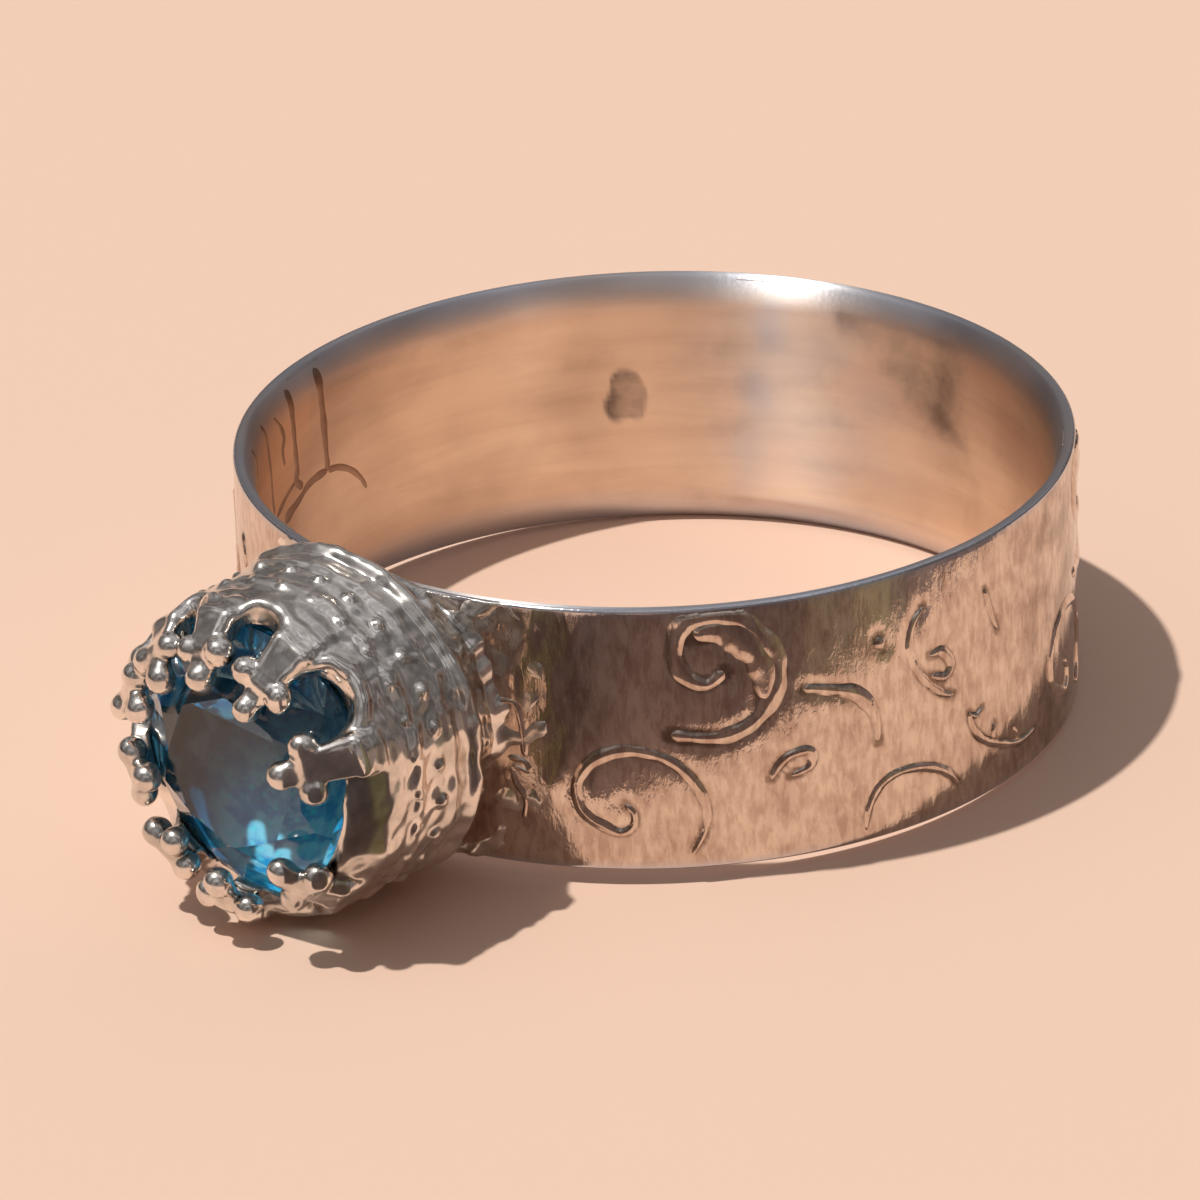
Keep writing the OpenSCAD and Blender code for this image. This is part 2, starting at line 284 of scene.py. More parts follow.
def ribbons(name, strokes, radius, inward, rise, sink, material, seed):
    """Low rounded strips that follow lines on the band's outer or inner wall."""
    across = np.linspace(-1, 1, 11)
    shape = np.cos(across * math.pi / 2) ** 1.3
    limit = BAND_W / 2 - (0.2 if inward else EDGE_ROUND)
    rng = np.random.default_rng(seed)
    pts, faces, wear_and_painted_light = [], [], []
    base, k = 0, len(across)
    for path, half in strokes:
        n = len(path)
        step = np.hypot(*np.diff(path, axis=0).T).mean()
        end = np.minimum(np.arange(n), np.arange(n)[::-1]) * step
        taper = unit(end / 0.2)
        taper = np.sqrt(taper * (2 - taper))
        s = np.arange(n) * step
        wobble = 1 + 0.14 * np.sin(s * rng.uniform(2, 5) + rng.uniform(0, 6))
        wobble = wobble + 0.06 * np.sin(s * 11 + rng.uniform(0, 6))
        width = half * (0.3 + 0.7 * taper) * wobble
        tall = rise * (0.7 + 0.8 * half / 0.4) * taper
        tall = tall * (1 + 0.2 * np.sin(s * rng.uniform(2, 5) + rng.uniform(0, 6)))
        t = np.gradient(path, axis=0)
        t /= np.linalg.norm(t, axis=1)[:, None]
        x = path[:, :1] - t[:, 1:] * width[:, None] * across
        z = path[:, 1:] + t[:, :1] * width[:, None] * across
        up = -sink + (tall[:, None] + sink) * shape
        up = np.where(np.abs(z) > limit, -0.02 if inward else -0.3, up)
        z = np.clip(z, -limit, limit)
        a = x / radius
        r = inner_wall(a, z) - up if inward else radius + up
        pts.append(np.stack([r * np.sin(a), -r * np.cos(a), z], 2).reshape(-1, 3))
        i, j = np.meshgrid(np.arange(n - 1), np.arange(k - 1), indexing="ij")
        q = np.stack([i * k + j, i * k + j + 1, (i + 1) * k + j + 1, (i + 1) * k + j], 2).reshape(-1, 4)
        faces.append((q[:, ::-1] if inward else q) + base)
        wear_and_painted_light.append(np.broadcast_to(1 - shape, (n, k)).reshape(-1))
        base += n * k
    obj = make_mesh(name, ring_to_part(np.concatenate(pts)), np.concatenate(faces), [material])
    point_values(obj, "patina_and_painted_shade", np.concatenate(wear_and_painted_light) ** 2)
    return obj


def inner_blots(angle, z):
    """Soft blotches that the tarnish, the painted shade and the painted sheen inside the band share."""
    return waves(angle, z, 29, 0.5, (9, 34), (1.2, 4.2), 12)


def inner_stain_and_shade(angle, z):
    """Tarnish inside the band, soft streaks round it and a dim patch, with painted shade in a slanting darker
    place and a painted sheen that evens and darkens the upper back.
    """
    deg = np.degrees(angle)
    streak = waves(angle, z + 0.5 * np.sin(2 * angle), 17, 0.5, (2, 6), (3.0, 7.0), 9)
    soft = np.clip(0.22 + 0.26 * streak, 0, 0.38)
    rag = waves(angle, z, 19, 0.35, (40, 120), (2, 9), 8)
    off = (np.abs((deg - 223.9) / (3.6 - 0.9 * z)) ** 3 + np.abs((z - 0.15) / 0.8) ** 3) ** (1 / 3)
    patch = 0.78 * unit((1.12 - off + 0.2 * rag) / 0.35)
    blot = inner_blots(angle, z)
    # Painted shade: a slanting darker place inside, about 158 to 195 degrees round from the head, standing
    # for a shadowy reflection
    slant = 1.0 - 0.1 * (191 - deg) + 0.35 * blot + 0.1 * rag
    dark = 0.6 * unit((z - slant) / 1.5) * unit((195 - deg) / 5) * unit((deg - 158) / 14) * (1 + 0.15 * blot)
    # Painted sheen: the upper back of the inside is evened out and darkened, as a grey reflected sheen
    painted_sheen_dark = np.exp(-(((deg - 197) / 27) ** 2) - ((z - 1) / 2.4) ** 2)
    soft = soft * (1 - 0.8 * painted_sheen_dark) + painted_sheen_dark * (0.29 + 0.02 * streak + 0.05 * blot)
    return np.maximum(np.maximum(soft, patch), dark)


def inner_painted_sheen(angle, z):
    """Where the inside is painted blue-grey in place of its warm tint: a wide blotchy painted sheen with an
    upright painted highlight streak in it, where the sun's highlight runs.
    """
    deg = np.degrees(angle)
    blot = inner_blots(angle, z)
    painted_sheen_grey = 0.38 * np.exp(-(((deg - 195) / 17) ** 2)) * (1 + 0.6 * blot)
    # Painted highlight: an upright streak where the sun's highlight runs down the inside
    painted_streak = 0.32 * np.exp(-(((deg - 204 + 0.9 * z) / 3.0) ** 2)) * (1 + 0.7 * blot)
    return (painted_sheen_grey + painted_streak) * unit((z + 3.1) / 1.6)


def build_band(outside, inside):
    outline, n_in, n_top, n_out = band_outline()
    angle = np.linspace(0, 2 * math.pi, BAND_TURNS, endpoint=False)[:, None]
    r, z = outline[:, 0][None, :], outline[:, 1][None, :]
    k = np.arange(len(outline))[None, :]
    is_out = (k >= n_in + n_top) & (k < n_in + n_top + n_out)
    is_wall = (k < n_in + LEAN_STEPS) | (k >= len(outline) - LEAN_STEPS)
    half = BAND_W / 2
    # The outside is uneven, but not at its edges, and where the head stands only from solder that ran out
    deg = np.degrees(angle)
    deg = np.minimum(deg, 360 - deg)
    fade = unit((half - 0.15 - np.abs(z)) / 0.5)
    head = unit((deg - 24) / 8)
    uneven = waves(angle, z, 4, 0.012, (5, 26), (0.15, 0.7), 9)
    melt = np.maximum(waves(angle, z, 9, 0.032, (30, 75), (0.8, 3), 10), -0.01)
    melt = melt * unit((34 - deg) / 8) * unit((deg - 15) / 4)
    streaks = waves(angle, z, 7, 0.0035, (60, 130), (0.3, 1.1), 14)
    hollow = band_moat(angle, z)
    shift = (uneven + streaks) * head * (0.3 + 0.7 * fade) - 0.013 * hollow * fade * head + melt * fade
    r = r + np.where(is_out, shift, 0)
    r = np.where(is_wall, inner_wall(angle, z), r)
    x = r * np.sin(angle)
    y = -r * np.cos(angle)
    pts = np.stack([x, y, np.broadcast_to(z, x.shape)], 2).reshape(-1, 3)
    m = len(outline)
    i, j = np.meshgrid(np.arange(BAND_TURNS), np.arange(m), indexing="ij")
    i2, j2 = (i + 1) % BAND_TURNS, (j + 1) % m
    faces = np.stack([i * m + j, i2 * m + j, i2 * m + j2, i * m + j2], 2).reshape(-1, 4)
    mat = np.where((j < n_in + LEAN_STEPS + 1) | (j >= m - LEAN_STEPS - 1), 1, 0).reshape(-1)
    obj = make_mesh("band", ring_to_part(pts), faces, [outside, inside], mat)
    # What the silvers look up: dark in hollows, stains and painted shade, darker on both sides of the
    # outside, and a blue-grey painted sky reflection in place of the warm tint at the rims and in the painted
    # sheen inside
    from_rim = half - np.abs(z)
    stain_and_shade = inner_stain_and_shade(angle, z) * np.clip(from_rim / 0.6, 0.2, 1)
    # Painted sky reflection: the rims are tinted blue-grey where they face the sky
    rim = np.where(is_out, unit(1 - from_rim / 0.22), unit(1.15 - from_rim / 0.85))
    rim = rim * (0.9 + 0.25 * waves(angle, z, 23, 1, (3, 14), (0.1, 0.6), 5)) * np.ones_like(x)
    rim = np.where(is_out, rim, np.maximum(rim, inner_painted_sheen(angle, z)))
    # The outside is also darker on both sides, about 110 degrees round from the head
    darker_sides = 0.55 * np.exp(-(((deg - 110) / 24) ** 2))
    wear_and_painted_light = np.where(is_out, np.maximum(0.75 * hollow**2 * fade * head, darker_sides), stain_and_shade)
    point_values(obj, "patina_and_painted_shade", (wear_and_painted_light * np.ones_like(x)).reshape(-1))
    point_values(obj, "rim", unit(rim).reshape(-1))
    return obj


# Painted reflection: dark lines inside the band, standing for reflected dark edges, laid on low raised strips
def build_dark_reflections(material):
    lines = []
    for first, last, points in DARK_REFLECTIONS:
        path = spline(points, BAND_RI)
        lines.append((path, REFLECTION_WIDEN * np.linspace(first, last, len(path))))
    return ribbons("painted_reflections", lines, BAND_RI, True, REFLECTION_RISE, REFLECTION_SINK, material, seed=31)


# Head: a distance field in the head's frame, meshed so that every joint of the casting is softly filled
def smooth_min(a, b, k):
    h = unit(0.5 + 0.5 * (b - a) / k)
    return b + (a - b) * h - k * h * (1 - h)


def smooth_max(a, b, k):
    return -smooth_min(-a, -b, k)


# The cup's outer and inner outline, as height and radius
OUTER = np.array(
    [
        (9.0, 2.86), (9.5, 2.95), (9.9, 3.1), (10.3, 3.3), (10.7, 3.62), (11.0, 3.84), (11.2, 3.88),
        (11.6, 3.86), (12.0, 3.87), (12.6, 3.85), (13.2, 3.82), (13.7, 3.84), (14.0, 3.82), (14.2, 3.72),
        (14.45, 3.52), (14.6, 3.38), (14.8, 3.18), (16, 2.2),
    ]
)
INNER = np.array(
    [
        (9.0, 2.3), (10.9, 2.36), (11.3, 2.5), (12.1, 2.88), (LEDGE_H - 0.06, LEDGE_R),
        (LEDGE_H + 0.03, SEAT_R), (14.22, SEAT_R), (14.48, 3.0), (16, 3.0),
    ]
)


def smooth_table(table, width):
    """Heights, radii and slopes of an outline with its corners softened."""
    h = np.linspace(8.5, 16.5, 1601)
    r = np.interp(h, table[:, 0], table[:, 1])
    k = max(1, int(width / (h[1] - h[0])))
    kernel = np.hanning(2 * k + 1)
    r = np.convolve(np.pad(r, k, mode="edge"), kernel / kernel.sum(), mode="valid")
    return h, r, np.gradient(r, h)


OUTER_T = smooth_table(OUTER, 0.3)
INNER_T = smooth_table(INNER, 0.06)


def strip_distance(u, v, w, path):
    """Distance to a flat strip with round sides that follows a path in the claw's own plane."""
    out = None
    for (u0, v0, w0), (u1, v1, w1) in zip(path[:-1], path[1:]):
        du, dv = u1 - u0, v1 - v0
        t = unit(((u - u0) * du + (v - v0) * dv) / (du * du + dv * dv))
        off = np.hypot(u - u0 - t * du, v - v0 - t * dv)
        half = w0 + t * (w1 - w0)
        d = np.hypot(off, np.maximum(np.abs(w) - (half - CLAW_T / 2), 0)) - CLAW_T / 2
        out = d if out is None else smooth_min(out, d, 0.12)
    return out


def claw_distance(x, y, h, row):
    """Distance to one claw: a stem, an arm with a bead on each side of its end, and a tip with a bead."""
    place, arm, lean, tip, spread = row
    a = math.radians(place)
    u = x * math.cos(a) + y * math.sin(a)
    w = -x * math.sin(a) + y * math.cos(a)
    lean, tip = math.radians(lean), math.radians(tip)
    u1, v1 = BEND_R, BEND_H
    u2, v2 = u1 - arm * math.sin(lean), v1 + arm * math.cos(lean)
    u3, v3 = u2 - END_REACH * math.sin(tip), v2 + END_REACH * math.cos(tip)
    arm_path = ((u1 + 0.05, v1 - 0.5, 0.55), (u1, v1 - 0.05, 0.52), (u2, v2, 0.4))
    d = strip_distance(u, h, w, arm_path)
    d = smooth_min(d, strip_distance(u, h, w, ((u2, v2, 0.4), (u3, v3, 0.28))), 0.12)
    bar = np.hypot(np.hypot(u - u2, h - v2), np.maximum(np.abs(w) - spread, 0)) - 0.2
    d = smooth_min(d, bar, 0.1)
    side = np.sqrt((u - u2) ** 2 + (h - v2) ** 2 + (np.abs(w) - spread) ** 2) - TIP_BEAD_R
    end = np.sqrt((u - u3) ** 2 + (h - v3) ** 2 + w**2) - TIP_BEAD_R
    return smooth_min(smooth_min(d, side, 0.09), end, 0.09)


def lumps(p, seed, count, short, long):
    """Soft random unevenness of about unit size, from waves between two lengths in mm."""
    rng = np.random.default_rng(seed)
    total = np.zeros(len(p))
    for _ in range(count):
        k = rng.normal(size=3)
        k *= 2 * math.pi / (rng.uniform(short, long) * np.linalg.norm(k))
        total += np.sin(p @ k + rng.uniform(0, 2 * math.pi))
    return total * math.sqrt(2 / count)


def stone_room(r, h):
    """Distance from the stone, a little less than the real one."""
    crown = (h - GIRDLE_H - GIRDLE_T / 2 - (STONE_R - r) * 0.9) * 0.743
    below = (CULET_H + r * math.tan(PAVILION) - h) * math.cos(PAVILION)
    return np.maximum(np.maximum(crown, below), r - STONE_R)


# A thin fold that hangs on the cup's wall: degrees round the cup and height
FOLD = np.array(
    [(42.4, 12.66), (42.4, 12.39), (39.6, 11.95), (34.7, 11.76), (27.7, 11.86), (20.9, 11.98), (15.9, 11.96)]
)
FOLD_WIRE = 0.06


def fold_distance(p):
    """Distance to the fold, a wire laid along its line."""
    a = np.radians(FOLD[:, 0])
    r = np.interp(FOLD[:, 1], OUTER_T[0], OUTER_T[1]) - 0.02
    q = np.stack([r * np.cos(a), r * np.sin(a), FOLD[:, 1]], 1)
    best = np.full(len(p), 9.0)
    for b, c in zip(q[:-1], q[1:]):
        e = c - b
        t = unit((p - b) @ e / (e @ e))
        best = np.minimum(best, np.linalg.norm(p - b - t[:, None] * e, axis=1))
    return best - FOLD_WIRE


PLACES = np.array([c[0] for c in CLAWS] + [CLAWS[0][0] + 360], float)


def arch_distance(x, y, h, radius):
    """Distance along the wall to the nearest arch's opening, negative inside it."""
    deg = (np.degrees(np.arctan2(y, x)) - PLACES[0]) % 360 + PLACES[0]
    i = np.clip(np.searchsorted(PLACES, deg, side="right") - 1, 0, len(CLAWS) - 1)
    gap = PLACES[i + 1] - PLACES[i]
    middle = (PLACES[i + 1] + PLACES[i]) / 2
    s = np.maximum(radius, 3.2) * np.radians(deg - middle)
    r = BEND_R * np.sin(np.radians(gap / 2)) - STEM_W / 2
    t = h - (ARCH_H + r)
    d = np.where(t < 0, np.hypot(s, t), np.abs(s)) - r
    return np.where(gap < WIDEST_ARCH, d, 1.5)


# Raised cords round the cup, as height, depth in the wall, size and softness of the joint
CORDS = ((13.0, 0.05, 0.09, 0.2), (11.85, 0.06, 0.07, 0.2))
# Rows of beads round the cup, as first place, depth in the wall, height and size
BEAD_ROWS = ((0.05, 0.04, 12.32, 0.16), (0.17, 0.06, 13.05, 0.15))
BEADS_IN_ROW = 27


def bead_ring(r, a, h, count, turn, radius, height, size):
    """Distance to a row of beads round the cup."""
    step = 2 * math.pi / count
    a = a - turn
    a = a - np.round(a / step) * step
    return np.sqrt((r * np.cos(a) - radius) ** 2 + (r * np.sin(a)) ** 2 + (h - height) ** 2) - size


def head_distance(p):
    """Distance to the head's metal, negative inside it, at points in the head's frame."""
    x, y, h = p[:, 0], p[:, 1], p[:, 2]
    r = np.hypot(x, y)
    a = np.arctan2(y, x)
    ho, ro, go = OUTER_T
    hi, ri, gi = INNER_T
    outer = np.interp(h, ho, ro)
    out = (r - outer) / np.sqrt(1 + np.interp(h, ho, go) ** 2)
    inn = (np.interp(h, hi, ri) - r) / np.sqrt(1 + np.minimum(np.interp(h, hi, gi) ** 2, 9))
    wall = smooth_max(smooth_max(out, inn, 0.06), h - LIP_H, 0.12)
    # The round ridge, the cords, the rows of beads and the fold
    wall = smooth_min(wall, np.hypot(r - (RIDGE_R - 0.19), h - RIDGE_H) - 0.18, 0.14)
    for height, sunk, wire, soft in CORDS:
        wall = smooth_min(wall, np.hypot(r - outer + sunk, h - height) - wire, soft)
    for turn, sunk, height, size in BEAD_ROWS:
        wall = smooth_min(wall, bead_ring(r, a, h, BEADS_IN_ROW, turn, WALL_R - sunk, height, size), 0.07)
    m = (r > 3.2) & (np.abs(h - 12.2) < 1) & (np.abs(a - 0.52) < 0.6)  # Near the fold
    if m.any():
        wall[m] = smooth_min(wall[m], fold_distance(p[m]), 0.1)
    # Arches between the claws, each with a raised cord round its opening
    arch = arch_distance(x, y, h, r)
    cord = np.hypot(arch - 0.2, r - outer + 0.1) - 0.2
    cord = smooth_max(cord, h - 14.45, 0.15)
    wall = smooth_min(wall, cord, 0.1)
    d = smooth_max(wall, -arch, 0.1)
    # Claws, each worked out only at points near it
    deg = np.degrees(a)
    for row in CLAWS:
        off = (deg - row[0] + 180) % 360 - 180
        m = (h > BEND_H - 1.2) & ((np.abs(off) < 34) | (r < 1.7)) & (np.abs(off) < 100)
        if m.any():
            d[m] = smooth_min(d[m], claw_distance(x[m], y[m], h[m], row), 0.12)
    # The solder fillet: the head runs out on to the band, just under the band's own skin
    band_r = np.hypot(x, h)
    band = np.maximum(band_r - (BAND_RO - 0.03), np.abs(y + HEAD_UP) - (BAND_W / 2 - 0.06))
    d = smooth_min(d, band, 0.45)
    # The casting is uneven, the solder at its foot more so, the beads less, and the seat for the stone isn't
    m = np.abs(d) < 0.3
    q = p[m]
    soft = unit(stone_room(r[m], h[m]) / 0.25)
    foot = unit((10.9 - h[m]) / 0.5) * unit((r[m] - 2.6) / 0.4) * unit((4.6 - r[m]) / 0.6)
    fine = (0.0135 + 0.012 * foot) * np.clip((15 - h[m]) / 0.6, 0.35, 1)
    uneven = 0.026 * lumps(q, seed=3, count=9, short=1.1, long=2.6)
    uneven = uneven + fine * lumps(q, seed=5, count=12, short=0.4, long=0.9)
    d[m] = d[m] + uneven * soft
    # Nothing reaches far out on the band or into the finger's hole
    d = np.maximum(d, r - np.interp(h, [9, 10.4, 10.8], [4.7, 4.7, 6]))
    lean = np.clip((np.abs(y + HEAD_UP) - BAND_W / 2 + COMFORT_DOWN) / COMFORT_DOWN, 0, 1.2)
    d = np.maximum(d, BAND_RI + 0.12 + COMFORT_IN * lean**2 - band_r)
    return np.maximum(d, 9.0 - h)


# The net's two corners, the radii between which it looks for metal, and how many of its layers are worked
# out at a time
NET_LOW, NET_HIGH = (-4.5, -4.5, 8.9), (4.5, 4.5, 16.2)
NET_IN, NET_OUT = 0.9, 4.45
NET_BLOCK = 16


def surface_net(lo, hi, step):
    """The zero surface of head_distance as quads, one corner in each cell that the surface crosses."""
    axes = [np.arange(lo[k], hi[k] + step, step) for k in range(3)]
    shape = tuple(len(a) for a in axes)
    field = np.full(shape, 1.0)
    gx, gy = np.meshgrid(axes[0], axes[1], indexing="ij")
    from_axis = np.hypot(gx, gy)
    worth = (from_axis < NET_OUT) & (from_axis > NET_IN)
    for k0 in range(0, shape[2], NET_BLOCK):
        hs = axes[2][k0 : k0 + NET_BLOCK]
        m = np.broadcast_to(worth[:, :, None], shape[:2] + (len(hs),))
        xx = np.broadcast_to(gx[:, :, None], m.shape)[m]
        yy = np.broadcast_to(gy[:, :, None], m.shape)[m]
        hh = np.broadcast_to(hs[None, None, :], m.shape)[m]
        block = np.full(m.shape, 1.0)
        block[m] = head_distance(np.stack([xx, yy, hh], 1))
        field[:, :, k0 : k0 + NET_BLOCK] = block
    inside = field < 0
    cells = tuple(s - 1 for s in shape)
    total = np.zeros(cells + (3,), np.float32)
    count = np.zeros(cells, np.int32)
    corner = [slice(0, -1), slice(1, None)]
    for axis in range(3):
        others = [k for k in range(3) if k != axis]
        for p in range(2):
            for q in range(2):
                sl0, sl1 = [None] * 3, [None] * 3
                sl0[axis], sl1[axis] = corner[0], corner[1]
                sl0[others[0]] = sl1[others[0]] = corner[p]
                sl0[others[1]] = sl1[others[1]] = corner[q]
                f0, f1 = field[tuple(sl0)], field[tuple(sl1)]
                cut = (f0 < 0) != (f1 < 0)
                t = np.where(cut, f0 / np.where(cut, f0 - f1, 1), 0)
                count += cut
                total[..., axis] += np.where(cut, t, 0)
                total[..., others[0]] += np.where(cut, p, 0)
                total[..., others[1]] += np.where(cut, q, 0)
    active = count > 0
    index = np.full(cells, -1, np.int64)
    index[active] = np.arange(active.sum())
    where = np.argwhere(active)
    points = (where + total[active] / count[active][:, None]) * step + np.array([a[0] for a in axes])
    faces = []
    for axis in range(3):
        o1, o2 = [(1, 2), (2, 0), (0, 1)][axis]
        a = [slice(1, -1)] * 3
        b = [slice(1, -1)] * 3
        a[axis], b[axis] = slice(0, -1), slice(1, None)
        s0, s1 = inside[tuple(a)], inside[tuple(b)]
        for flip in (False, True):
            spots = np.argwhere((s0 & ~s1) if not flip else (~s0 & s1))
            spots[:, o1] += 1
            spots[:, o2] += 1
            quad = []
            for d1, d2 in ((-1, -1), (0, -1), (0, 0), (-1, 0)):
                c = spots.copy()
                c[:, o1] += d1
                c[:, o2] += d2
                quad.append(index[c[:, 0], c[:, 1], c[:, 2]])
            quad = np.stack(quad, 1)
            faces.append(quad[:, ::-1] if flip else quad)
    return points, np.concatenate(faces)


def gradient(p):
    """How head_distance changes at each point."""
    e = 0.004
    g = np.zeros_like(p)
    for k in range(3):
        d = np.zeros(3)
        d[k] = e
        g[:, k] = (head_distance(p + d) - head_distance(p - d)) / (2 * e)
    return g


def kept(count, faces):
    """Which of a count of points the faces use, and the faces with those points' new numbers."""
    used = np.unique(faces)
    new = np.full(count, -1)
    new[used] = np.arange(len(used))
    return used, new[faces]


def build_head(material, seat):
    """The setting and, as a piece of its own, the inside of the cup."""
    step = 0.062
    points, faces = surface_net(NET_LOW, NET_HIGH, step)
    # The points are moved on to the surface, by less than half a cell at a time
    for _ in range(2):
        g = gradient(points)
        d = head_distance(points)
        move = -d[:, None] * g / np.maximum((g * g).sum(1), 0.2)[:, None]
        size = np.linalg.norm(move, axis=1)
        points = points + move * np.minimum(1, step * 0.4 / np.maximum(size, 1e-9))[:, None]
    # Faces inside the band's own wall aren't made
    across = points[:, 1] + HEAD_UP
    depth = np.hypot(points[:, 0], points[:, 2])
    hidden = (depth > inner_wall(0.0, across) + 0.05) & (depth < BAND_RO - 0.02)
    hidden &= np.abs(across) < BAND_W / 2 - 0.1
    used, faces = kept(len(points), faces[~hidden[faces].all(1)])
    points = points[used]
    g = gradient(points)
    n = g / np.maximum(np.linalg.norm(g, axis=1), 1e-9)[:, None]
    # How closed in by other metal each point is, for the dark in the recesses
    closed = np.zeros(len(points))
    for reach in (0.12, 0.3):
        closed += unit(1 - head_distance(points + n * reach) / reach)
    # The faces inside the cup, from its bore up to the girdle
    middle = points[faces].mean(1)
    r = np.hypot(middle[:, 0], middle[:, 1])
    inner = (r < np.interp(middle[:, 2], INNER_T[0], INNER_T[1]) + 0.06) & (middle[:, 2] < GIRDLE_H + 0.1)
    inner &= middle[:, 2] > 10.6
    made = []
    for name, some, look in (("setting", faces[~inner], material), ("seat", faces[inner], seat)):
        used, some = kept(len(points), some)
        obj = make_mesh(name, ring_to_part(head_to_ring(points[used])), some, [look])
        point_values(obj, "patina_and_painted_shade", closed[used] / 2)
        made.append(obj)
    return made


# Stone: a round brilliant cut out of a disc, facet by facet. The slopes of its small facets, and how far
# those start from the girdle
STAR = math.radians(21.5)
CROWN_BREAK = math.radians(40.0)
PAVILION_BREAK = math.radians(42.6)
BREAK_START = 0.012


def build_stone(crown, side, pavilion):
    bm = bmesh.new()
    bmesh.ops.create_cone(bm, cap_ends=True, segments=96, radius1=STONE_R, radius2=STONE_R, depth=8)
    top, low = GIRDLE_T / 2, -GIRDLE_T / 2

    def cut(azimuth, slope, r, h, down=False):
        a = math.radians(azimuth)
        n = Vector((math.cos(a) * math.sin(slope), math.sin(a) * math.sin(slope), math.cos(slope)))
        if down:
            n.z = -n.z
        at = Vector((math.cos(a) * r, math.sin(a) * r, h))
        geom = bm.verts[:] + bm.edges[:] + bm.faces[:]
        got = bmesh.ops.bisect_plane(bm, geom=geom, dist=1e-6, plane_co=at, plane_no=n, clear_outer=True)
        edges = [e for e in got["geom_cut"] if isinstance(e, bmesh.types.BMEdge)]
        if edges:
            bmesh.ops.contextual_create(bm, geom=edges)

    table_h = top + (STONE_R - TABLE_R) * math.tan(CROWN)
    cut(0, 0.0, 0, table_h)
    for i in range(8):
        cut(45 * i, CROWN, STONE_R, top)
        cut(45 * i, PAVILION, STONE_R, low, True)
    for i in range(16):
        a = 22.5 * i + 11.25
        cut(a, CROWN_BREAK, STONE_R, top + BREAK_START)
        cut(a, PAVILION_BREAK, STONE_R, low - BREAK_START, True)
    for i in range(8):
        cut(45 * i + 22.5, STAR, TABLE_R * math.cos(math.radians(22.5)) + 0.02, table_h)
    bmesh.ops.recalc_face_normals(bm, faces=bm.faces[:])
    pts = np.array([v.co[:] for v in bm.verts])
    bm.verts.index_update()
    faces = [[v.index for v in f.verts] for f in bm.faces]
    bm.free()
    pts[:, 2] += GIRDLE_H
    middle = np.array([np.mean([pts[k] for k in f], axis=0) for f in faces])
    # The crown's lower part is the side material's, and all below the girdle the pavilion's
    kind = np.where(middle[:, 2] < GIRDLE_H - GIRDLE_T * 0.4, 2, np.where(middle[:, 1] < -1.2, 1, 0))
    looks = [crown, side, pavilion]
    return make_mesh("stone", ring_to_part(head_to_ring(pts)), faces, looks, kind, smooth=False)


# Materials
def node_material(name):
    mat = bpy.data.materials.new(name)
    mat.use_nodes = True
    tree = mat.node_tree
    tree.nodes.clear()
    out = tree.nodes.new("ShaderNodeOutputMaterial")
    shader = tree.nodes.new("ShaderNodeBsdfPrincipled")
    tree.links.new(shader.outputs[0], out.inputs[0])
    return mat, tree, shader


def add(tree, kind, **values):
    """A new node, with values for its own settings or for its sockets."""
    node = tree.nodes.new(kind)
    for key, value in values.items():
        if hasattr(node, key):
            setattr(node, key, value)
        else:
            node.inputs[key.replace("_", " ")].default_value = value
    return node


def mapped(tree, value, low, high, start=0.3, end=0.7):
    """Runs smoothly from low to high while the value goes from start to end."""
    node = tree.nodes.new("ShaderNodeMapRange")
    node.interpolation_type = "SMOOTHSTEP"
    node.inputs["From Min"].default_value = start
    node.inputs["From Max"].default_value = end
    node.inputs["To Min"].default_value = low
    node.inputs["To Max"].default_value = high
    tree.links.new(value, node.inputs["Value"])
    return node.outputs[0]


def blend(tree, factor, first, second):
    """Mix of two colours, each a socket or a plain colour."""
    node = tree.nodes.new("ShaderNodeMix")
    node.data_type = "RGBA"
    tree.links.new(factor, node.inputs["Factor"])
    for socket, value in ((node.inputs[6], first), (node.inputs[7], second)):
        if isinstance(value, tuple):
            socket.default_value = (*value, 1)
        else:
            tree.links.new(value, socket)
    return node.outputs[2]


# Silver tinted blue-grey as a painted sky reflection, at the rims and in the painted sheen inside, and the
# depth of the fine grain in mm
PAINTED_SKY_SILVER = (0.60, 0.60, 0.65)
GRAIN = 0.0015


